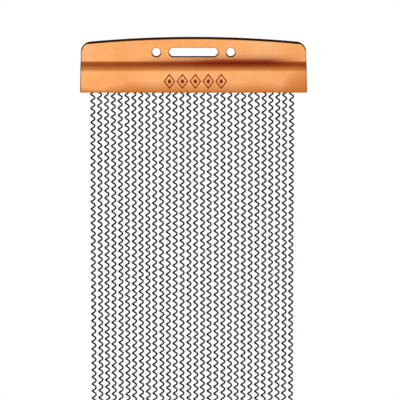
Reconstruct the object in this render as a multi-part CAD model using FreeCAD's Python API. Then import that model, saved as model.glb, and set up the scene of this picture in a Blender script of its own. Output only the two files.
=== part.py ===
"""Snare wire set for a 14 inch drum: 30 coiled steel strands brazed between two stamped end plates.

Millimetres. The origin is the middle of the upper plate's strap slot, half way through the sheet. +Z points up
the band, so the strands hang down from the upper plate; X runs across the band, and -Y is the show side.
"""
import FreeCAD, Part
import math
import os

V = FreeCAD.Vector
ACROSS = V(1, 0, 0)
THROUGH = V(0, 1, 0)
UP = V(0, 0, 1)
CLOSE = 1e-3                # edges nearer than this to a place are at it

# ---- driving dimensions -------------------------------------------------------------------------------------
SLOT_TO_SLOT = 324.0        # from one plate's strap slot to the other's: the set is 335 long overall

PLATE_WIDTH = 80.8
TAB_WIDTH = 80.0            # the blank narrows this far towards the top of the tab
SHEET = 1.0                 # thickness of the plated steel sheet
TAB_ABOVE_SLOT = 5.45       # slot centre to the crown of the tab's edge
CROWN_SAG = 2.0             # how far that edge drops from the middle to the sides
TAB_CORNER = 3.8
FLANGE_CORNER = 0.5
FLANGE_EDGE_BELOW_SLOT = 14.3
EDGE_ROUNDING = 0.46        # tumbled outer edges, both faces
HOLE_ROUNDING = 0.44        # lead-in that spares the cord

CORD_HOLE = 2.9             # diameter
CORD_HOLE_SPACING = 26.4
SLOT_LENGTH = 17.2          # end to end, with round ends
SLOT_HEIGHT = 2.9

BEND_START_BELOW_SLOT = 3.1
BEND_ANGLE = 45.0           # slope of the joggle between tab and flange, in degrees
TAB_BEND_INSIDE = 0.9       # inside radius of each bend
FLANGE_BEND_INSIDE = 2.0

STRANDS = 30
STRAND_PITCH = 2.44         # centre to centre across the band
BAND_OFFSET = -0.5          # the band sits this far off the plates' middle
COIL_DIAMETER = 1.95        # outside
WIRE = 0.60
TURNS = 120
STRAND_INSET = 7.0          # length of strand that lies under each flange

BRAZE_FILM = 0.1            # braze between a strand's channel and the flange
CHANNEL_CLEARANCE = 0.05
BRAZE_SETBACK = 1.0         # the seam stops this far short of the flange's edge
BRAZE_HEIGHT = 5.3
BRAZE_OVERHANG = 0.7        # past the outermost strands

LOZENGES = 5
LOZENGE_PITCH = 4.6
LOZENGE_WIDTH = 4.2
LOZENGE_HEIGHT = 5.6
LOZENGE_ROW_RIGHT = 0.65    # the row's middle from the plate's middle
LOZENGE_ROW_UP = 0.4        # and above the middle of the flange
ENGRAVED_LINE = 0.42
LOZENGE_HEART = 0.36        # size of the sunk lozenge at each one's middle, as a share of the outer one
ENGRAVED_DEPTH = 0.12

# ---- what follows from them ---------------------------------------------------------------------------------
COIL_RADIUS = COIL_DIAMETER / 2
STRAND_PLANE = SHEET / 2 - COIL_RADIUS                      # the strands' backs are flush with the tab's
FLANGE_BACK = STRAND_PLANE - COIL_RADIUS - CHANNEL_CLEARANCE - BRAZE_FILM
FLANGE_FRONT = FLANGE_BACK - SHEET
JOGGLE = SHEET / 2 - FLANGE_BACK                            # how far the flange stands in front of the tab
STRAND_TOP = STRAND_INSET - FLANGE_EDGE_BELOW_SLOT
STRAND_LENGTH = SLOT_TO_SLOT + 2 * STRAND_TOP


def prism(wire, direction):
    """A closed flat wire pushed along a direction."""
    return Part.Face(wire).extrude(direction)


def polygon(points):
    return Part.Wire(Part.makePolygon(points + [points[0]]).Edges)


def bends():
    """The joggle's two bends: their turn, and each one's centre (Y, Z) and radius at the sheet's middle.

    The tab bend turns the sheet forward and down the slope, and the flange bend turns it back to upright.
    The slope between them is as long as the joggle needs.
    """
    turn = math.radians(BEND_ANGLE)
    tab_radius = TAB_BEND_INSIDE + SHEET / 2
    flange_radius = FLANGE_BEND_INSIDE + SHEET / 2
    by_arcs = (tab_radius + flange_radius) * (1 - math.cos(turn))
    slope_length = (JOGGLE - by_arcs) / math.sin(turn)
    tab_centre = (-tab_radius, -BEND_START_BELOW_SLOT)
    slope_drop = (tab_radius + flange_radius) * math.sin(turn) + slope_length * math.cos(turn)
    flange_centre = (-JOGGLE + flange_radius, -BEND_START_BELOW_SLOT - slope_drop)
    return turn, tab_centre, tab_radius, flange_centre, flange_radius


def sheet_face(side):
    """Edges of one face of the bent sheet, side +1 for the back and -1 for the front, from tab to flange."""
    turn, tab_centre, tab_radius, flange_centre, flange_radius = bends()
    near = tab_radius + side * SHEET / 2
    far = flange_radius - side * SHEET / 2

    def on_tab_bend(angle):
        return V(0, tab_centre[0] + near * math.cos(angle), tab_centre[1] - near * math.sin(angle))

    def on_flange_bend(angle):
        return V(0, flange_centre[0] - far * math.cos(angle), flange_centre[1] + far * math.sin(angle))

    top = V(0, side * SHEET / 2, TAB_ABOVE_SLOT + SHEET)
    bottom = V(0, -JOGGLE + side * SHEET / 2, -FLANGE_EDGE_BELOW_SLOT)
    return [
        Part.LineSegment(top, on_tab_bend(0)).toShape(),
        Part.Arc(on_tab_bend(0), on_tab_bend(turn / 2), on_tab_bend(turn)).toShape(),
        Part.LineSegment(on_tab_bend(turn), on_flange_bend(turn)).toShape(),
        Part.Arc(on_flange_bend(turn), on_flange_bend(turn / 2), on_flange_bend(0)).toShape(),
        Part.LineSegment(on_flange_bend(0), bottom).toShape(),
    ]


def bent_sheet():
    """The joggled strip, full width, square at every edge."""
    back = sheet_face(+1)
    front = sheet_face(-1)
    ends = []
    for place in (0, -1):
        behind = back[place].Vertexes[place].Point
        before = front[place].Vertexes[place].Point
        ends.append(Part.LineSegment(behind, before).toShape())
    section = Part.Wire(Part.sortEdges(back + front + ends)[0])
    strip = prism(section, ACROSS * PLATE_WIDTH)
    strip.translate(ACROSS * (-PLATE_WIDTH / 2))
    return strip


def plate_outline():
    """The blank's outline seen from the front: crowned top edge, rounded tab corners, near-square flange."""
    y = -4 * SHEET
    tab_left = V(-TAB_WIDTH / 2, y, TAB_ABOVE_SLOT - CROWN_SAG)
    tab_right = V(TAB_WIDTH / 2, y, TAB_ABOVE_SLOT - CROWN_SAG)
    foot_left = V(-PLATE_WIDTH / 2, y, -FLANGE_EDGE_BELOW_SLOT)
    foot_right = V(PLATE_WIDTH / 2, y, -FLANGE_EDGE_BELOW_SLOT)
    crown = Part.Arc(tab_left, V(0, y, TAB_ABOVE_SLOT), tab_right).toShape()
    right = Part.LineSegment(tab_right, foot_right).toShape()
    foot = Part.LineSegment(foot_right, foot_left).toShape()
    left = Part.LineSegment(foot_left, tab_left).toShape()
    block = prism(Part.Wire([crown, right, foot, left]), THROUGH * (8 * SHEET))
    block = block.makeFillet(TAB_CORNER, corner_edges(block, upper=True))
    return block.makeFillet(FLANGE_CORNER, corner_edges(block, upper=False))


def corner_edges(block, upper):
    """The block's edges along Y at the tab's corners, or at the flange's."""
    found = []
    for edge in block.Edges:
        first = edge.Vertexes[0].Point
        last = edge.Vertexes[-1].Point
        if abs(first.y - last.y) > SHEET and (first.z > -BEND_START_BELOW_SLOT) == upper:
            found.append(edge)
    return found


def punches():
    """The two cord holes and the strap slot between them."""
    depth = 4 * SHEET
    tools = []
    for side in (-1, 1):
        at = V(side * CORD_HOLE_SPACING / 2, -depth / 2, 0)
        tools.append(Part.makeCylinder(CORD_HOLE / 2, depth, at, THROUGH))
    run = (SLOT_LENGTH - SLOT_HEIGHT) / 2
    end = SLOT_HEIGHT / 2
    y = -depth / 2
    slot = Part.Wire([
        Part.LineSegment(V(-run, y, end), V(run, y, end)).toShape(),
        Part.Arc(V(run, y, end), V(run + end, y, 0), V(run, y, -end)).toShape(),
        Part.LineSegment(V(run, y, -end), V(-run, y, -end)).toShape(),
        Part.Arc(V(-run, y, -end), V(-run - end, y, 0), V(-run, y, end)).toShape(),
    ])
    tools.append(prism(slot, THROUGH * depth))
    return tools


def engraving():
    """A row of outlined lozenges with sunk hearts, cut into the middle of the flange's front face."""
    line = ENGRAVED_LINE / math.cos(math.atan2(LOZENGE_WIDTH, LOZENGE_HEIGHT))
    inner_share = 1 - 2 * line / LOZENGE_WIDTH
    grooves = []
    for number in range(LOZENGES):
        x = LOZENGE_ROW_RIGHT + (number - (LOZENGES - 1) / 2) * LOZENGE_PITCH
        grooves.append(lozenge(x, 1).cut(lozenge(x, inner_share)))
        grooves.append(lozenge(x, LOZENGE_HEART))
    return grooves


def lozenge(x, share):
    """A cutter for one lozenge of the row, scaled about its own middle."""
    flange_top = bends()[3][1]
    middle = (flange_top - FLANGE_EDGE_BELOW_SLOT) / 2 + LOZENGE_ROW_UP
    front = FLANGE_FRONT - ENGRAVED_DEPTH
    wide = share * LOZENGE_WIDTH / 2
    high = share * LOZENGE_HEIGHT / 2
    outline = polygon([V(x - wide, front, middle), V(x, front, middle + high),
                       V(x + wide, front, middle), V(x, front, middle - high)])
    return prism(outline, THROUGH * (2 * ENGRAVED_DEPTH))


def end_plate():
    plate = bent_sheet().common(plate_outline())
    outer = [e for e in plate.Edges if on_perimeter(e)]
    plate = plate.makeFillet(EDGE_ROUNDING, outer)
    plate = plate.cut(Part.makeCompound(punches()))
    rims = [e for e in plate.Edges if on_punched_rim(e)]
    plate = plate.makeFillet(HOLE_ROUNDING, rims)
    plate = plate.cut(Part.makeCompound(engraving()))
    return plate.Solids[0]


def on_perimeter(edge):
    """True for an edge where a face of the sheet meets the blank's cut edge."""
    box = edge.BoundBox
    through_the_sheet = abs(edge.tangentAt(edge.FirstParameter).y) > 0.999
    crosses_the_plate = box.XLength > PLATE_WIDTH / 2
    between_the_ends = -FLANGE_EDGE_BELOW_SLOT + FLANGE_CORNER < box.ZMin and box.ZMax < 0
    bend_line = crosses_the_plate and between_the_ends
    return not through_the_sheet and not bend_line


def on_punched_rim(edge):
    """True for an edge round a hole or the slot, on either face of the tab."""
    box = edge.BoundBox
    on_a_face = box.YLength < CLOSE and abs(abs(box.Center.y) - SHEET / 2) < CLOSE
    in_the_row = max(box.ZMax, -box.ZMin) < SLOT_HEIGHT / 2 + CLOSE
    return on_a_face and in_the_row


def strand_x(number):
    """Where a strand lies across the band; number runs from 0 at the left."""
    return BAND_OFFSET + (number - (STRANDS - 1) / 2) * STRAND_PITCH


def strand(number):
    """One coiled strand as a tube of the coil's outer diameter.

    Its wall is so thin that the tube holds as much steel as the wound wire does.
    """
    mean_radius = COIL_RADIUS - WIRE / 2
    pitch = STRAND_LENGTH / TURNS
    wire_length = TURNS * math.hypot(2 * math.pi * mean_radius, pitch)
    steel_area = math.pi * (WIRE / 2) ** 2 * wire_length / STRAND_LENGTH
    bore_radius = math.sqrt(COIL_RADIUS ** 2 - steel_area / math.pi)
    foot = V(strand_x(number), STRAND_PLANE, STRAND_TOP - STRAND_LENGTH)
    outside = Part.makeCylinder(COIL_RADIUS, STRAND_LENGTH, foot, UP)
    inside = Part.makeCylinder(bore_radius, STRAND_LENGTH, foot, UP)
    return outside.cut(inside)


def braze_seam():
    """The bar of braze behind the flange, with a half-round channel for each strand."""
    width = (STRANDS - 1) * STRAND_PITCH + COIL_DIAMETER + 2 * BRAZE_OVERHANG
    low = -FLANGE_EDGE_BELOW_SLOT + BRAZE_SETBACK
    seam = Part.makeBox(width, STRAND_PLANE - FLANGE_BACK, BRAZE_HEIGHT,
                        V(BAND_OFFSET - width / 2, FLANGE_BACK, low))
    channels = []
    for number in range(STRANDS):
        foot = V(strand_x(number), STRAND_PLANE, low - 1)
        channels.append(Part.makeCylinder(COIL_RADIUS + CHANNEL_CLEARANCE, BRAZE_HEIGHT + 2, foot, UP))
    return seam.cut(Part.makeCompound(channels))


def turned_end_for_end(shape, keep_offset):
    """The lower end's copy of a piece: half a turn about Y round the middle of the set."""
    copy = shape.copy()
    copy.rotate(V(0, 0, -SLOT_TO_SLOT / 2), THROUGH, 180)
    if keep_offset:
        copy.translate(ACROSS * (2 * BAND_OFFSET))
    return copy


plate = end_plate()
seam = braze_seam()
nodes = {
    "top_end_plate": plate,
    "top_braze_seam": seam,
    "bottom_end_plate": turned_end_for_end(plate, keep_offset=False),
    "bottom_braze_seam": turned_end_for_end(seam, keep_offset=True),
}
for number in range(STRANDS):
    nodes["strand_%02d" % (number + 1)] = strand(number)

os.makedirs("parts", exist_ok=True)
for name, shape in nodes.items():
    shape.exportStep("parts/%s.step" % name)

for name in ("top_end_plate", "top_braze_seam", "strand_01"):
    shape = nodes[name]
    box = shape.BoundBox
    print("%-16s solids %d valid %s  x %.2f..%.2f  y %.3f..%.3f  z %.2f..%.2f  %.1f mm3" % (
        name, len(shape.Solids), shape.isValid(), box.XMin, box.XMax, box.YMin, box.YMax,
        box.ZMin, box.ZMax, shape.Volume))
print("strand pitch along its axis %.3f, strand length %.1f" % (STRAND_LENGTH / TURNS, STRAND_LENGTH))
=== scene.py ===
# %% [markdown]
# # A snare wire set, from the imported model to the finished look
#
# A snare wire set is a band of thin coiled strands held between two end plates. It lies against the lower
# head of a snare drum and rattles when the drum is struck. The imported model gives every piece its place
# and every joint its axis. This lesson winds the real coils, flows the braze round them and gives each
# surface the finish that the real one has.
#
# The model is in metres. +Z runs up the band, X runs across it, and -Y is the show side.

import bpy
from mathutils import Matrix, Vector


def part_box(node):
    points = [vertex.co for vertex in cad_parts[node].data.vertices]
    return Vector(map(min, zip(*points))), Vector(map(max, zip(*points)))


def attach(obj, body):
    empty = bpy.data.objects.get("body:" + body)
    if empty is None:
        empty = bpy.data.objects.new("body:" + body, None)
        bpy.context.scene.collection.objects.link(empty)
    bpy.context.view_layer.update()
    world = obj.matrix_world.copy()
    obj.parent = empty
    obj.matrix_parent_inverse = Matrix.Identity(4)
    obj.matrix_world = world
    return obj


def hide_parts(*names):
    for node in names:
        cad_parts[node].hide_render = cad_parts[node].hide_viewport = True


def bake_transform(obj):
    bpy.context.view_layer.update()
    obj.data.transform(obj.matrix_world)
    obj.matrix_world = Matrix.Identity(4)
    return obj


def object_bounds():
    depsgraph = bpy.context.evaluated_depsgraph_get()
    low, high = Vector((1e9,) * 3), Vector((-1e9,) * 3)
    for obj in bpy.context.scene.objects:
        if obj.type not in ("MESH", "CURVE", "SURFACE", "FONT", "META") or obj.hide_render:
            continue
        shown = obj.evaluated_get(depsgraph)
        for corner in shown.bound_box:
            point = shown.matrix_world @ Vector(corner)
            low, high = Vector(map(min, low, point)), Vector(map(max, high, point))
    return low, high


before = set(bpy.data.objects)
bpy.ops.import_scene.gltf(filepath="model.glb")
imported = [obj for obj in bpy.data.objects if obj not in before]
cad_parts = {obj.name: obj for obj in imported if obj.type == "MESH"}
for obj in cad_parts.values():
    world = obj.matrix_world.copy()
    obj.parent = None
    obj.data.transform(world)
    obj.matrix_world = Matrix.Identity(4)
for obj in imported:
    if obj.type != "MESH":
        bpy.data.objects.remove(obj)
cad_low, cad_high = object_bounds()

# %% The other modules, and the unit that a maker thinks in
import math
import random

import bpy
import numpy as np
from mathutils import Vector

MM = 0.001
print("the set is %.1f by %.1f by %.1f mm" % tuple((cad_high - cad_low) / MM))

# %% [markdown]
# ## Reading the sizes
#
# Nothing is measured by eye here. A strand's box gives the coil's outer radius and where the strand lies, the
# flanges' boxes give the edges that the strands come out of, and the middle of the strand's length is where
# it is cut in two. Only the wire's own gauge and the number of turns are stated, because the packed strand is
# a plain tube that stands for the coil.

# %% Read the sizes
WIRE = 0.60 * MM
TURNS = 120

STRAND_NAMES = sorted(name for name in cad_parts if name.startswith("strand_"))
first_low, first_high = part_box(STRAND_NAMES[0])
COIL_RADIUS = (first_high.y - first_low.y) / 2
STRAND_PLANE = (first_high.y + first_low.y) / 2
STRAND_TOP = first_high.z
STRAND_FOOT = first_low.z
PITCH = (STRAND_TOP - STRAND_FOOT) / TURNS

UPPER_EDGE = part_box("top_end_plate")[0].z
LOWER_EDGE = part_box("bottom_end_plate")[1].z
BAND_MIDDLE = (STRAND_TOP + STRAND_FOOT) / 2

print("%d strands, coil %.2f mm across, pitch %.2f mm" % (
    len(STRAND_NAMES), 2 * COIL_RADIUS / MM, PITCH / MM))

# %% [markdown]
# ## The camera
#
# A set like this is shown flat on, so the camera looks square at the upper plate through a long lens from
# a metre and a half, a few degrees above it. A long lens keeps thirty parallel strands parallel, and the
# few degrees let the top of each rounded edge be seen.

# %% Camera
CAMERA_DISTANCE = 1.5
CAMERA_ELEVATION = math.radians(10)
VIEW_WIDTH = 142.8 * MM
VIEW_CENTRE = Vector((2.3 * MM, -2.6 * MM, -52.95 * MM))
SENSOR = 36.0

camera_data = bpy.data.cameras.new("camera")
camera = bpy.data.objects.new("camera", camera_data)
bpy.context.scene.collection.objects.link(camera)
toward_camera = Vector((0, -math.cos(CAMERA_ELEVATION), math.sin(CAMERA_ELEVATION)))
camera.location = VIEW_CENTRE + toward_camera * CAMERA_DISTANCE
camera.rotation_euler = (-toward_camera).to_track_quat("-Z", "Y").to_euler()
camera_data.sensor_width = SENSOR
camera_data.lens = SENSOR * CAMERA_DISTANCE / VIEW_WIDTH
bpy.context.scene.camera = camera
bpy.context.scene.view_settings.view_transform = "Standard"
print("lens %.0f mm" % camera_data.lens)


# %% [markdown]
# ## Helpers for materials
#
# Colours are written as the sRGB hex values that a painter would pick, and one function turns them into
# the linear light that a shader works in. One more function adds a node to a tree with its settings and
# its inputs, where an input is either a value or another node's output, and fills in the stops of a
# colour ramp.
#
# Every metal here is finished in the same way: one noise sets both its gloss and its relief, because on a
# real surface the same scratches and lumps do both.

# %% Colours and nodes
def colour(hex_value):
    """An sRGB hex colour as linear red, green, blue and alpha."""
    channels = [int(hex_value[i:i + 2], 16) / 255 for i in (1, 3, 5)]
    return [c / 12.92 if c <= 0.04045 else ((c + 0.055) / 1.055) ** 2.4 for c in channels] + [1.0]


def add(tree, kind, inputs=None, stops=(), **settings):
    """Adds a shader node.

    inputs maps a socket's name or number to a value or to another node's output, and stops are a colour
    ramp's (place, hex colour) pairs.
    """
    node = tree.nodes.new("ShaderNode" + kind)
    for name, value in settings.items():
        setattr(node, name, value)
    for name, value in (inputs or {}).items():
        if isinstance(value, bpy.types.NodeSocket):
            tree.links.new(value, node.inputs[name])
        else:
            node.inputs[name].default_value = value
    for number, (place, hex_value) in enumerate(stops):
        if number == len(node.color_ramp.elements):
            node.color_ramp.elements.new(place)
        node.color_ramp.elements[number].position = place
        node.color_ramp.elements[number].color = colour(hex_value)
    return node


print("the grey #808080 gives %.3f of the light that white does" % colour("#808080")[0])


# %% An empty material and a finished metal
def new_material(name):
    """An empty material with a shader joined to its output; returns the material, its tree and the shader."""
    material = bpy.data.materials.new(name)
    material.use_nodes = True
    tree = material.node_tree
    tree.nodes.clear()
    shader = add(tree, "BsdfPrincipled")
    output = add(tree, "OutputMaterial", {"Surface": shader.outputs["BSDF"]})
    output.is_active_output = True
    return material, tree, shader


def finish_metal(tree, shader, base, texture, roughness, strength, depth):
    """Makes a metal of a base colour, whose gloss and fine relief both follow a texture."""
    tree.links.new(base, shader.inputs["Base Color"])
    gloss = add(tree, "MapRange", {"Value": texture, "From Min": 0.3, "From Max": 0.7,
                                   "To Min": roughness[0], "To Max": roughness[1]})
    tree.links.new(gloss.outputs["Result"], shader.inputs["Roughness"])
    relief = add(tree, "Bump", {"Height": texture, "Strength": strength, "Distance": depth})
    tree.links.new(relief.outputs["Normal"], shader.inputs["Normal"])
    shader.inputs["Metallic"].default_value = 1.0


print("a white metal would mirror all the light that meets it:", colour("#FFFFFF")[:3])

# %% [markdown]
# ## The room that the metal mirrors
#
# Metal has almost no colour of its own to show, so what it mirrors is what draws its shape. The room is a
# product photographer's: white all round for the eye to see and to light the floor, and for the metal a
# white wall behind the camera that warms and darkens towards the ceiling. High up behind the object it is
# nearly black, so every edge that rolls away over the top ends in a dark line. The sides of the room are
# a little darker than its middle, the left more than the right, which tones down edges that turn aside.
#
# A direction's angle up from the camera's side, over the top to the back, picks the colour, and how far
# the direction lies to one side dims it.

# %% The room's colours
SIDE_SPAN = 0.8             # the walls are darkest here, where 1 is straight to the side
MIRRORED_STRENGTH = 0.94
WHITE_STRENGTH = 1.0

world = bpy.data.worlds.new("studio")
bpy.context.scene.world = world
world.use_nodes = True
room = world.node_tree
room.nodes.clear()

heading = add(room, "TexCoord")
toward = add(room, "SeparateXYZ", {"Vector": heading.outputs["Generated"]})
front = add(room, "Math", {0: toward.outputs["Y"], 1: -1.0}, operation="MULTIPLY")
climb = add(room, "Math", {0: toward.outputs["Z"], 1: front.outputs[0]}, operation="ARCTAN2")
share = add(room, "MapRange", {"Value": climb.outputs[0], "From Min": -math.pi, "From Max": math.pi})
over_the_top = add(room, "ValToRGB", {"Fac": share.outputs["Result"]}, stops=[
    (0.00, "#E9DFD2"), (0.25, "#F6EFE6"), (0.44, "#FFFAF2"), (0.48, "#FFFFFF"), (0.52, "#FFFDFA"),
    (0.555, "#DDC49C"), (0.62, "#CCA880"), (0.70, "#B98A68"), (0.745, "#96604A"), (0.765, "#1A0C06"),
    (0.96, "#0C0500"), (1.0, "#5A3A18")])

sideways = add(room, "MapRange", {"Value": toward.outputs["X"], "From Min": -SIDE_SPAN,
                                  "From Max": SIDE_SPAN})
by_side = add(room, "ValToRGB", {"Fac": sideways.outputs["Result"]}, stops=[
    (0.0, "#B4B0AC"), (0.25, "#C0BCB8"), (0.42, "#F2F2F2"), (0.50, "#FFFFFF"), (0.58, "#F4F4F4"),
    (0.8, "#D8D4D0"), (1.0, "#D0CCC8")])
mirrored = add(room, "Mix", {"Factor": 1.0, 6: over_the_top.outputs["Color"], 7: by_side.outputs["Color"]},
               data_type="RGBA", blend_type="MULTIPLY")

print("what the metal mirrors: %d stops over the top, %d from side to side" % (
    len(over_the_top.color_ramp.elements), len(by_side.color_ramp.elements)))

# %% White for the eye, the painted room for the metal
mirrored_light = add(room, "Background", {"Color": mirrored.outputs[2], "Strength": MIRRORED_STRENGTH})
seen_light = add(room, "Background", {"Color": colour("#FFFFFF"), "Strength": WHITE_STRENGTH})
ray = add(room, "LightPath")
either = add(room, "MixShader", {"Fac": ray.outputs["Is Glossy Ray"],
                                 1: seen_light.outputs["Background"],
                                 2: mirrored_light.outputs["Background"]})
add(room, "OutputWorld", {"Surface": either.outputs["Shader"]})
print("the room has %d nodes" % len(room.nodes))

# %% [markdown]
# ## The lights
#
# Two large soft boxes stand in front and to the right, and put a slow change of tone on the metal. They
# are wide for their distance, so nothing throws a hard shadow.


# %% Lights
def softbox(name, place, aim, side, watts):
    """A square soft light that faces aim."""
    data = bpy.data.lights.new(name, "AREA")
    data.size = side
    data.energy = watts
    light = bpy.data.objects.new(name, data)
    light.location = place
    light.rotation_euler = (Vector(aim) - Vector(place)).to_track_quat("-Z", "Y").to_euler()
    bpy.context.scene.collection.objects.link(light)


LIT_POINT = (0, 0, -0.1)
softbox("key", place=(-0.35, -1.5, -0.45), aim=LIT_POINT, side=0.9, watts=0.5)
softbox("fill", place=(1.2, -0.8, -0.1), aim=LIT_POINT, side=0.6, watts=0.5)
print("soft boxes:", [light.name for light in bpy.data.lights])

# %% [markdown]
# ## Copper plate over steel: the end plates
#
# The end plates are stamped from one-millimetre sheet steel, linished along their length and then copper
# plated and lacquered. Plated copper is a warm peach where it mirrors white and falls to a reddish brown
# where it mirrors the dark. The imported plates have their true shape, so they stay, and only a material
# goes on.
#
# The material is built up in layers: the plating, the tint of the brazing heat, painted shade in the bend and
# on the tab above it, painted shade on the crowned edge and on the rims that look up, and oxide in the
# lozenges. Each layer over the plating is one function that takes the colour below it and returns the colour
# with the layer on top. The other way would be to paint an image, but an image has a fixed sharpness, and
# rules that follow the shape hold at any distance.
#
# Both plates share the material. Heights are measured from the middle of the set towards the nearer
# crown, so that one rule serves the upper plate and the lower one.

# %% Heights on a plate
ENGRAVED_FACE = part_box("top_end_plate")[0].y
SET_MIDDLE = (UPPER_EDGE + LOWER_EDGE) / 2
FLANGE_REACH = UPPER_EDGE - SET_MIDDLE
TAB_REACH = -3.1 * MM - SET_MIDDLE      # the tab begins 3.1 mm below the slot's middle
CROWN_REACH = cad_high.z - SET_MIDDLE


def places_on_plate(tree):
    """The sockets that tell a layer where a point lies and which way it faces."""
    place = add(tree, "TexCoord")
    where = add(tree, "SeparateXYZ", {"Vector": place.outputs["Object"]})
    facing = add(tree, "SeparateXYZ", {"Vector": place.outputs["Normal"]})
    from_middle = add(tree, "Math", {0: where.outputs["Z"], 1: SET_MIDDLE}, operation="SUBTRACT")
    height = add(tree, "Math", {0: from_middle.outputs[0]}, operation="ABSOLUTE")
    crown_ward = add(tree, "Math", {0: from_middle.outputs[0]}, operation="SIGN")
    looks_up = add(tree, "Math", {0: facing.outputs["Z"], 1: crown_ward.outputs[0]}, operation="MULTIPLY")
    on_tab = add(tree, "Math", {0: height.outputs[0], 1: TAB_REACH}, operation="GREATER_THAN")
    return {"point": place.outputs["Object"], "x": where.outputs["X"], "y": where.outputs["Y"],
            "height": height.outputs[0], "looks_up": looks_up.outputs[0], "looks_back": facing.outputs["Y"],
            "on_tab": on_tab.outputs[0]}


print("from the middle of the set: flange %.1f mm, tab %.1f mm, crown %.1f mm" % (
    FLANGE_REACH / MM, TAB_REACH / MM, CROWN_REACH / MM))

# %% [markdown]
# ### The plating and the scratches under it
#
# A slow cloud of tone is the unevenness that a plating bath leaves. The belt's fine scratches run from
# side to side under the plating. Noise that is stretched along X makes them, and the same noise sets the
# gloss.

# %% Plating
CLOUD = 16 * MM
GRAIN_WIDTH = 0.09 * MM     # a belt's scratches are about a third of this, drawn coarser so that they show
GRAIN_LENGTH = 12 * MM
GRAIN_SHARE = 0.16


def plating(tree, at):
    """The plated colour, and the noise of the scratches."""
    clouds = add(tree, "TexNoise", {"Vector": at["point"], "Scale": 1 / CLOUD, "Detail": 3.0})
    plated = add(tree, "ValToRGB", {"Fac": clouds.outputs["Fac"]}, stops=[
        (0.28, "#F49F5C"), (0.5, "#FBAE6C"), (0.72, "#FFBC85")])
    stretched = add(tree, "Mapping", {"Vector": at["point"],
                                      "Scale": (1 / GRAIN_LENGTH, 1 / GRAIN_WIDTH, 1 / GRAIN_WIDTH)})
    grain = add(tree, "TexNoise", {"Vector": stretched.outputs["Vector"], "Scale": 1.0, "Detail": 2.0})
    lines = add(tree, "ValToRGB", {"Fac": grain.outputs["Fac"]}, stops=[
        (0.3, "#E39A5A"), (0.5, "#FBAE6C"), (0.7, "#FFC491")])
    lined = add(tree, "Mix", {"Factor": GRAIN_SHARE, 6: plated.outputs["Color"], 7: lines.outputs["Color"]},
                data_type="RGBA")
    return lined.outputs[2], grain.outputs["Fac"]


print("scratches %.2f mm wide and %.0f mm long" % (GRAIN_WIDTH / MM, GRAIN_LENGTH / MM))

# %% [markdown]
# ### The brazing heat
#
# The strands are brazed behind the flange, and the heat darkens the copper along its edge to orange. The
# tint reaches up unevenly, as a flame does, and farthest at the right end. It fades with the height above
# the edge.

# %% Brazing heat
HEAT_REACH = (1.6 * MM, 5.6 * MM)       # how far up from the flange's edge, at the least and at the most
HEAT_PATCH = 22 * MM
RIGHT_END = (31 * MM, 39.5 * MM)        # where the extra reach at the right end begins and is full
RIGHT_END_REACH = 8 * MM
HEAT_MOST = 0.95


def brazing_heat(tree, at, below):
    """The orange tint along the flange's edge."""
    uneven = add(tree, "TexNoise", {"Vector": at["point"], "Scale": 1 / HEAT_PATCH, "Detail": 2.0})
    reach = add(tree, "MapRange", {"Value": uneven.outputs["Fac"], "From Min": 0.35, "From Max": 0.65,
                                   "To Min": FLANGE_REACH + HEAT_REACH[0],
                                   "To Max": FLANGE_REACH + HEAT_REACH[1]})
    extra = add(tree, "MapRange", {"Value": at["x"], "From Min": RIGHT_END[0], "From Max": RIGHT_END[1],
                                   "To Max": RIGHT_END_REACH})
    farthest = add(tree, "Math", {0: reach.outputs["Result"], 1: extra.outputs["Result"]}, operation="ADD")
    heat = add(tree, "MapRange", {"Value": at["height"], "From Min": farthest.outputs[0],
                                  "From Max": FLANGE_REACH, "To Max": HEAT_MOST})
    tinted = add(tree, "Mix", {"Factor": heat.outputs["Result"], 6: below, 7: colour("#C46C28")},
                 data_type="RGBA")
    return tinted.outputs[2]


print("the heat reaches %.1f to %.1f mm up the flange" % (HEAT_REACH[0] / MM, HEAT_REACH[1] / MM))

# %% [markdown]
# ### Painted shade in the bend, and on the tab above it
#
# The bend is painted darker, a red brown that stands in for the shade in it. It fills the bend's top two
# millimetres from the middle to near the right end. A painted brown shade reaches from there on to the tab,
# dark at the fold and soon faint: it falls off with a power of the distance.

# %% Painted shade in the bend
BEND_SHADE_STARTS = (-26 * MM, 8 * MM)       # where along X it begins and is full
BEND_SHADE_STOPS = (40 * MM, 27 * MM)        # where it ends and is still full
BEND_SHADE_DEPTH = (2.4 * MM, 0.6 * MM)      # how far below the fold it ends and is still full
BEND_SHADE_MOST = 0.9


def shade_along_bend(tree, at):
    """How much of the painted shade in the bend and on the tab there is at each place along the plate, from 0
    to 1.
    """
    starts = add(tree, "MapRange", {"Value": at["x"], "From Min": BEND_SHADE_STARTS[0],
                                    "From Max": BEND_SHADE_STARTS[1]})
    stops = add(tree, "MapRange", {"Value": at["x"], "From Min": BEND_SHADE_STOPS[0],
                                   "From Max": BEND_SHADE_STOPS[1]})
    both = add(tree, "Math", {0: starts.outputs["Result"], 1: stops.outputs["Result"]},
               operation="MULTIPLY")
    return both.outputs[0]


def painted_bend_shade(tree, at, share, below):
    """Painted shade: a red brown laid into the colour at the top of the bend."""
    below_tab = add(tree, "Math", {0: 1.0, 1: at["on_tab"]}, operation="SUBTRACT")
    depth = add(tree, "MapRange", {"Value": at["height"], "From Min": TAB_REACH - BEND_SHADE_DEPTH[0],
                                   "From Max": TAB_REACH - BEND_SHADE_DEPTH[1], "To Max": BEND_SHADE_MOST})
    in_bend = add(tree, "Math", {0: depth.outputs["Result"], 1: below_tab.outputs[0]}, operation="MULTIPLY")
    # painted shade: oxide here is how strongly the bend is darkened
    oxide = add(tree, "Math", {0: in_bend.outputs[0], 1: share}, operation="MULTIPLY")
    shaded_bend = add(tree, "Mix", {"Factor": oxide.outputs[0], 6: below, 7: colour("#A42A28")}, data_type="RGBA")
    return shaded_bend.outputs[2]


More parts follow.
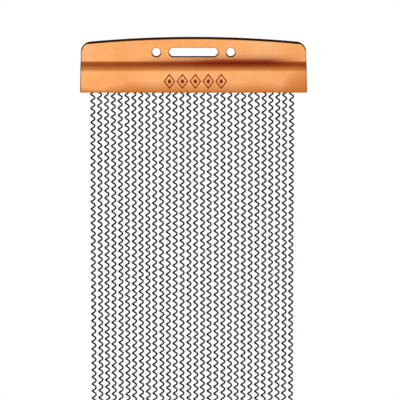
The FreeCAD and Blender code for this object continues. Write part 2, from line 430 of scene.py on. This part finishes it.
# the oxide that this prints is the painted shade in the bend
print("the oxide is full from X %.0f to %.0f mm" % (BEND_SHADE_STARTS[1] / MM, BEND_SHADE_STOPS[1] / MM))

# %% Painted shade on the tab
TAB_SHADE_TURN = (-4 * MM, 30 * MM)         # from here to here along X its reach grows
TAB_SHADE_REACH = (6 * MM, 7 * MM)
TAB_SHADE_FADE = 5.0


# painted shade: the tab just above the bend is darkened in the colour
def painted_tab_shade(tree, at, share, below):
    """Painted shade on the tab just above the bend, dark at the fold and soon faint."""
    shade_ends = add(tree, "MapRange", {"Value": at["x"], "From Min": TAB_SHADE_TURN[0], "From Max": TAB_SHADE_TURN[1],
                                   "To Min": TAB_REACH + TAB_SHADE_REACH[0],
                                   "To Max": TAB_REACH + TAB_SHADE_REACH[1]})
    nearness = add(tree, "MapRange", {"Value": at["height"], "From Min": shade_ends.outputs["Result"],
                                      "From Max": TAB_REACH})
    faded = add(tree, "Math", {0: nearness.outputs["Result"], 1: TAB_SHADE_FADE}, operation="POWER")
    begun = add(tree, "Math", {0: faded.outputs[0], 1: share}, operation="MULTIPLY")
    painted_shade = add(tree, "Math", {0: begun.outputs[0], 1: at["on_tab"]}, operation="MULTIPLY")
    shaded_tab = add(tree, "Mix", {"Factor": painted_shade.outputs[0], 6: below, 7: colour("#74260C")}, data_type="RGBA")
    return shaded_tab.outputs[2]


# the stain that this prints is the painted shade on the tab
print("the stain reaches %.0f to %.0f mm on to the tab" % (TAB_SHADE_REACH[0] / MM, TAB_SHADE_REACH[1] / MM))

# %% [markdown]
# ### Painted shade on the rims, and oxide in the lozenges
#
# The crowned edge and the lower rims of the holes are darker in the colour, and this is painted shade on
# whatever looks up. So the rims are found by the way they face. The painted dark line along the crown also
# reaches a little way down the flat face, which a rule about facing can't see. The crown is close to a
# parabola, so its height is worked out from X.
#
# The lozenges' sunk lines hold oxide that polishing never reaches. They are found as faces that look
# straight forward and lie just below the flange's own face.

# %% Dark rims, as painted shade
CROWN_SAG = 2.0 * MM                    # how far the crowned edge falls from the middle to the ends
CROWN_HALF = 40 * MM
CROWN_SHADE_LINE = 0.88 * MM                  # how deep the dark line along it is
CROWN_SHADE_EDGE = 0.15 * MM
RIM_SHADE_TILT = (0.02, 0.14)                 # a rim begins to darken and is dark at these slopes


# painted shade: rims that look up and a line along the crown are darkened in the colour
def painted_rim_shade(tree, at, below):
    """Painted shade on the rims of the tab that look up, and on a line along the crown."""
    rim = add(tree, "MapRange", {"Value": at["looks_up"], "From Min": RIM_SHADE_TILT[0], "From Max": RIM_SHADE_TILT[1]})
    on_rim = add(tree, "Math", {0: rim.outputs["Result"], 1: at["on_tab"]}, operation="MULTIPLY")
    squared = add(tree, "Math", {0: at["x"], 1: at["x"]}, operation="MULTIPLY")
    if_flat = add(tree, "Math", {0: squared.outputs[0], 1: CROWN_SAG / CROWN_HALF ** 2, 2: at["height"]},
                  operation="MULTIPLY_ADD")
    line = add(tree, "MapRange", {"Value": if_flat.outputs[0], "From Min": CROWN_REACH - CROWN_SHADE_LINE,
                                  "From Max": CROWN_REACH - CROWN_SHADE_LINE + CROWN_SHADE_EDGE})
    dark = add(tree, "Math", {0: on_rim.outputs[0], 1: line.outputs["Result"]}, operation="MAXIMUM")
    shaded_rims = add(tree, "Mix", {"Factor": dark.outputs[0], 6: below, 7: colour("#3A1A0C")}, data_type="RGBA")
    return shaded_rims.outputs[2]


print("the crown's dark line is %.2f mm deep" % (CROWN_SHADE_LINE / MM))

# %% Oxide in the lozenges
SUNK_BY = (0.03 * MM, 0.09 * MM)        # oxide begins and is full this far below the flange's face
SUNK_AT_MOST = 0.2 * MM
STRAIGHT_FORWARD = -0.999


def lozenge_oxide(tree, at, below):
    """Dark oxide in the sunk lines of the lozenges."""
    depth = add(tree, "MapRange", {"Value": at["y"], "From Min": ENGRAVED_FACE + SUNK_BY[0],
                                   "From Max": ENGRAVED_FACE + SUNK_BY[1]})
    shallow = add(tree, "Math", {0: at["y"], 1: ENGRAVED_FACE + SUNK_AT_MOST}, operation="LESS_THAN")
    square_on = add(tree, "Math", {0: at["looks_back"], 1: STRAIGHT_FORWARD}, operation="LESS_THAN")
    groove = add(tree, "Math", {0: depth.outputs["Result"], 1: shallow.outputs[0]}, operation="MULTIPLY")
    oxide = add(tree, "Math", {0: groove.outputs[0], 1: square_on.outputs[0]}, operation="MULTIPLY")
    finished = add(tree, "Mix", {"Factor": oxide.outputs[0], 6: below, 7: colour("#7E2E16")},
                   data_type="RGBA")
    return finished.outputs[2]


print("oxide lies %.2f to %.2f mm below the flange's face" % (SUNK_BY[0] / MM, SUNK_AT_MOST / MM))

# %% [markdown]
# ### Laying them over one another
#
# Each call hands its colour to the next, and each layer's mask keeps it to its own place. The noise of the
# scratches then finishes the metal: a brushed and plated face is glossy, with almost no relief.

# %% Lay the layers on the plates
PLATE_ROUGHNESS = (0.17, 0.25)
SCRATCH_STRENGTH = 0.06
SCRATCH_DEPTH = 0.01 * MM

copper, tree, shader = new_material("copper_plated_steel_linished")
at = places_on_plate(tree)
layered, grain = plating(tree, at)
layered = brazing_heat(tree, at, layered)
share = shade_along_bend(tree, at)
# painted shade: the next three layers darken the bend, the tab above it, and the crown and rims that look up
layered = painted_bend_shade(tree, at, share, layered)
layered = painted_tab_shade(tree, at, share, layered)
layered = painted_rim_shade(tree, at, layered)
layered = lozenge_oxide(tree, at, layered)
finish_metal(tree, shader, layered, grain, PLATE_ROUGHNESS, SCRATCH_STRENGTH, SCRATCH_DEPTH)

for plate in ("top_end_plate", "bottom_end_plate"):
    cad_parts[plate].data.materials.clear()
    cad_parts[plate].data.materials.append(copper)
print("the copper has %d nodes" % len(tree.nodes))

# %% [markdown]
# ## Drawn spring steel: the strands' wire
#
# Snare wire is hard-drawn steel, about 0.6 mm thick. Drawing leaves faint lines along the wire, and the
# heat-treated metal is dark grey under a thin black film of oxide that also dulls its edges. The lines
# have to follow the wire round every coil, so each point of a coil carries the place that it had on the
# straight wire, and the noise is read there.

# %% Drawn wire
LINES_ACROSS = 9.0          # to a millimetre; real drawing lines are finer, and wouldn't show
LINES_ALONG = 0.12          # to a millimetre, so that one runs on for about 8 mm
FILM_PATCH = 12.5           # millimetres
WIRE_ROUGHNESS = (0.18, 0.30)


def drawn_spring_steel():
    """Dark drawn steel, whose texture follows the wire round the coils."""
    material, tree, shader = new_material("spring_steel_drawn")
    on_wire = add(tree, "Attribute", attribute_name="straight_wire")
    stretched = add(tree, "Mapping", {"Vector": on_wire.outputs["Vector"],
                                      "Scale": (LINES_ACROSS, LINES_ACROSS, LINES_ALONG)})
    lines = add(tree, "TexNoise", {"Vector": stretched.outputs["Vector"], "Scale": 1.0, "Detail": 3.0})
    film = add(tree, "TexNoise", {"Vector": on_wire.outputs["Vector"], "Scale": 1 / FILM_PATCH,
                                  "Detail": 4.0})
    bright = add(tree, "ValToRGB", {"Fac": lines.outputs["Fac"]}, stops=[
        (0.3, "#0C0D0F"), (0.5, "#151619"), (0.7, "#282A2F")])
    filmed = add(tree, "MapRange", {"Value": film.outputs["Fac"], "From Min": 0.5, "From Max": 0.75,
                                    "To Max": 0.6})
    grey = add(tree, "Mix", {"Factor": filmed.outputs["Result"], 6: bright.outputs["Color"],
                             7: colour("#131212")}, data_type="RGBA")
    finish_metal(tree, shader, grey.outputs[2], lines.outputs["Fac"], WIRE_ROUGHNESS, 0.1, 0.005 * MM)
    # on a metal this tints what it mirrors at glancing angles, which the film dulls
    shader.inputs["Specular Tint"].default_value = colour("#2C2C2E")
    return material


steel = drawn_spring_steel()
print("made %s, with lines 1/%.0f mm apart" % (steel.name, LINES_ACROSS))

# %% [markdown]
# ## Winding the coils
#
# A strand is a right-handed helix. It could be a curve with a bevel, but a mesh tube worked out ring by ring
# lets each point keep its place on the straight wire. Every strand starts at its own angle, because nobody
# lines the coils up before brazing, and wanders a few hundredths of a millimetre from straight. Its pitch
# drifts by a few per cent too, as no two coils open quite alike, so neighbours fall in and out of step.
#
# The band bends near the upper flange and stretches towards the lower plate, and a piece can follow only one
# joint, so each strand is wound in two lengths that meet in the middle.

# %% A tube of wire round any line
SIDES = 8


def tube(name, centres, outward, along, place_on_wire):
    """A closed mesh tube round a line of centres.

    outward is a unit vector square to the line at each centre, along is the line's direction there, and
    place_on_wire is how far along the straight wire each centre lies, in millimetres.
    """
    count = len(centres)
    sideways = np.cross(along, outward)
    angles = np.arange(SIDES) * 2 * math.pi / SIDES
    radius = WIRE / 2
    cosines = np.cos(angles)[None, :, None]
    sines = np.sin(angles)[None, :, None]
    across = outward[:, None, :] * cosines + sideways[:, None, :] * sines
    points = (centres[:, None, :] + radius * across).reshape(-1, 3)

    ring = np.arange(count - 1)[:, None] * SIDES
    side = np.arange(SIDES)[None, :]
    following = (side + 1) % SIDES
    quads = np.stack([ring + side, ring + SIDES + side, ring + SIDES + following, ring + following], -1)
    quads = quads.reshape(-1, 4)

    faces = quads.tolist() + [list(range(SIDES)), [(count - 1) * SIDES + s for s in reversed(range(SIDES))]]
    mesh = bpy.data.meshes.new(name)
    mesh.from_pydata(points.tolist(), [], faces)
    mesh.shade_smooth()
    straight = np.zeros((count, SIDES, 3))
    straight[..., 0] = radius / MM * np.cos(angles)
    straight[..., 1] = radius / MM * np.sin(angles)
    straight[..., 2] = np.asarray(place_on_wire)[:, None]
    attribute = mesh.attributes.new("straight_wire", "FLOAT_VECTOR", "POINT")
    attribute.data.foreach_set("vector", straight.ravel())
    piece = bpy.data.objects.new(name, mesh)
    bpy.context.scene.collection.objects.link(piece)
    return piece


print("the wire has %d sides, each %.2f mm wide" % (SIDES, WIRE / MM * math.sin(math.pi / SIDES)))

# %% The helix of a strand
RINGS_PER_TURN = 24
WANDER = 0.07 * MM
DRIFT = 0.7                 # radians that the slow drift may put a coil ahead or behind
QUICK_DRIFT = 2.7           # a second drift is this much quicker, and a third as strong


def wind(name, x, start_angle, wander, drift, top, foot):
    """The length of one strand between two heights."""
    radius = COIL_RADIUS - WIRE / 2
    turns = (top - foot) / PITCH
    z = np.linspace(top, foot, int(round(turns * RINGS_PER_TURN)) + 1)
    along_band = (z - STRAND_FOOT) / (STRAND_TOP - STRAND_FOOT)
    angle = start_angle + 2 * math.pi * (z - STRAND_FOOT) / PITCH
    angle += DRIFT * np.sin(2 * math.pi * drift[0] * along_band + drift[1])
    angle += DRIFT / 3 * np.sin(2 * math.pi * QUICK_DRIFT * drift[0] * along_band + 2 * drift[1])
    held = np.sin(math.pi * along_band)
    off_line = WANDER * held * np.sin(2 * math.pi * wander[0] * along_band + wander[1])
    outward = np.stack([np.cos(angle), np.sin(angle), np.zeros_like(z)], 1)
    centres = np.stack([x + off_line, np.full_like(z, STRAND_PLANE), z], 1) + radius * outward
    along = np.gradient(centres, axis=0)
    along /= np.linalg.norm(along, axis=1)[:, None]
    wire_per_height = math.hypot(2 * math.pi * radius, PITCH) / PITCH
    return tube(name, centres, outward, along, (STRAND_TOP - z) * wire_per_height / MM)


print("a ring every %.2f mm along the wire" % (
    math.hypot(2 * math.pi * (COIL_RADIUS - WIRE / 2), PITCH) / RINGS_PER_TURN / MM))

# %% Wind the thirty strands
draw = random.Random(30)

for strand in STRAND_NAMES:
    low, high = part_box(strand)
    x = (low.x + high.x) / 2
    start_angle = draw.uniform(0, 2 * math.pi)
    wander = (draw.uniform(1.5, 3.5), draw.uniform(0, 2 * math.pi))
    drift = (draw.uniform(2.5, 4.5), draw.uniform(0, 2 * math.pi))
    upper = wind(strand + "_upper", x, start_angle, wander, drift, STRAND_TOP, BAND_MIDDLE)
    lower = wind(strand + "_lower", x, start_angle, wander, drift, BAND_MIDDLE, STRAND_FOOT)
    for length in (upper, lower):
        length.data.materials.append(steel)
        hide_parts(strand)
    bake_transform(upper)
    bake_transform(lower)
print("each strand has %d points" % (len(upper.data.vertices) + len(lower.data.vertices)))

# %% [markdown]
# ## The braze
#
# Behind each flange the strands' ends sit in braze that was flowed along them. Molten metal wets the
# coils and climbs them, so the seam is a bar with a rounded ridge over each strand and a hollow between
# two, a ragged edge and a lumpy skin. A packed bar with channels stands for it in the solid model; here a
# fine grid is raised by that profile.

# %% Braze as it flowed
SKIN_LUMP = 0.9 * MM
FLUX_PATCH = 5 * MM
BRAZE_ROUGHNESS = (0.28, 0.5)


def silver_braze():
    """Pale braze, lumpy and scorched in patches by flux."""
    material, tree, shader = new_material("silver_braze_as_flowed")
    place = add(tree, "TexCoord").outputs["Object"]
    skin = add(tree, "TexNoise", {"Vector": place, "Scale": 1 / SKIN_LUMP, "Detail": 5.0})
    flux = add(tree, "TexNoise", {"Vector": place, "Scale": 1 / FLUX_PATCH, "Detail": 3.0})
    metal = add(tree, "ValToRGB", {"Fac": skin.outputs["Fac"]}, stops=[
        (0.3, "#A8946C"), (0.55, "#C9B88F"), (0.75, "#DDD2B4")])
    scorched = add(tree, "MapRange", {"Value": flux.outputs["Fac"], "From Min": 0.5, "From Max": 0.72,
                                      "To Max": 0.6})
    tinted = add(tree, "Mix", {"Factor": scorched.outputs["Result"], 6: metal.outputs["Color"],
                               7: colour("#6B4A2E")}, data_type="RGBA")
    finish_metal(tree, shader, tinted.outputs[2], skin.outputs["Fac"], BRAZE_ROUGHNESS, 0.3, 0.05 * MM)
    return material


braze = silver_braze()
print("made", braze.name)

# %% The skin of a seam
BRAZE_STEP = 0.13 * MM
VALLEY_DEPTH = 0.15 * MM
RIDGE_HEIGHT = 0.85 * MM
RIDGE_WIDTH = 0.62 * MM
LUMP = 0.05 * MM
LUMP_WAVES = (3.1 * MM, 1.3 * MM, 5.3 * MM)     # wavelengths over two pi, none in step with another
RAGGED = 0.35 * MM
RAGGED_WAVES = (1.7 * MM, 0.71 * MM)
EDGE_WIDTH = 1.2 * MM       # the skin rises from a film to its full height over this
FILM = 0.02 * MM


def seam_skin(low, high):
    """Where the braze's skin lies within a box, as three grids: x, z and how far back the skin is."""
    xs = np.arange(low.x, high.x + BRAZE_STEP / 2, BRAZE_STEP)
    zs = np.arange(low.z, high.z + BRAZE_STEP / 2, BRAZE_STEP)
    x, z = np.meshgrid(xs, zs, indexing="ij")
    strand_x = np.array([sum(corner.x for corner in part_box(s)) / 2 for s in STRAND_NAMES])
    off_strand = np.abs(x[..., None] - strand_x).min(-1)
    skin = high.y - VALLEY_DEPTH + RIDGE_HEIGHT * np.exp(-(off_strand / RIDGE_WIDTH) ** 2)
    skin += LUMP * np.sin(x / LUMP_WAVES[0]) * np.sin(z / LUMP_WAVES[1] + x / LUMP_WAVES[2])
    ragged = RAGGED * (np.sin(x / RAGGED_WAVES[0]) + 0.6 * np.sin(x / RAGGED_WAVES[1] + 1))
    from_sides = np.minimum(x - low.x, high.x - x)
    from_ends = np.minimum(z - low.z - ragged, high.z - z + ragged)
    from_edge = np.minimum(from_sides, from_ends)
    rise = np.clip(from_edge / EDGE_WIDTH, 0, 1)
    rise = np.sqrt(rise * (2 - rise))
    film = low.y + FILM
    skin = film + (skin - film) * rise
    return x, z, skin


print("the braze stands %.2f mm high over each strand" % ((RIDGE_HEIGHT - VALLEY_DEPTH) / MM))


# %% The seams as closed solids
def braze_seam(name, node, material):
    """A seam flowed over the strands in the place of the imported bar."""
    low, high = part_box(node)
    x, z, skin = seam_skin(low, high)
    front = np.stack([x, np.full_like(x, low.y), z], -1).reshape(-1, 3)
    back = np.stack([x, skin, z], -1).reshape(-1, 3)
    index = np.arange(x.size).reshape(x.shape)
    quads = np.stack([index[:-1, :-1], index[1:, :-1], index[1:, 1:], index[:-1, 1:]], -1)
    quads = quads.reshape(-1, 4)
    rim = np.concatenate([index[:, 0], index[-1, 1:], index[-2::-1, -1], index[0, -2:0:-1]])
    following = np.roll(rim, -1)
    total = len(front)
    walls = np.stack([rim, following, following + total, rim + total], -1)
    faces = quads.tolist() + (quads[:, ::-1] + total).tolist() + walls.tolist()
    mesh = bpy.data.meshes.new(name)
    mesh.from_pydata(np.concatenate([front, back]).tolist(), [], faces)
    mesh.validate()
    mesh.update()
    mesh.shade_smooth()
    mesh.materials.append(material)
    piece = bpy.data.objects.new(name, mesh)
    bpy.context.scene.collection.objects.link(piece)
    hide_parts(node)
    return piece


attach(braze_seam("top_braze", "top_braze_seam", braze), "upper_plate")
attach(braze_seam("bottom_braze", "bottom_braze_seam", braze), "lower_plate")
print("a seam has %d points" % len(bpy.data.meshes["top_braze"].vertices))

# %% [markdown]
# ## The floor
#
# The set hangs from its upper plate, so the floor is some way below it: a plain pale disc that only catches a
# soft shade.

# %% Floor
FLOOR_DROP = 60 * MM
FLOOR_RADIUS = 0.6
bpy.ops.mesh.primitive_circle_add(vertices=128, radius=FLOOR_RADIUS, fill_type="NGON",
                                  location=(0, 0, cad_low.z - FLOOR_DROP))
floor = bpy.context.object
floor.name = "floor"
paper, paper_tree, paper_shader = new_material("matt_paper")
fibre = add(paper_tree, "TexNoise", {"Scale": 40.0, "Detail": 4.0})
pale = add(paper_tree, "ValToRGB", {"Fac": fibre.outputs["Fac"]}, stops=[(0.3, "#F4F3F1"), (0.7, "#FBFAF8")])
paper_tree.links.new(pale.outputs["Color"], paper_shader.inputs["Base Color"])
paper_shader.inputs["Roughness"].default_value = 0.9
floor.data.materials.append(paper)
print("the floor lies %.0f mm below the set" % (FLOOR_DROP / MM))

# %% Print the CAD box and finish
print("CAD box    ", [round(v / MM, 2) for v in (*cad_low, *cad_high)])
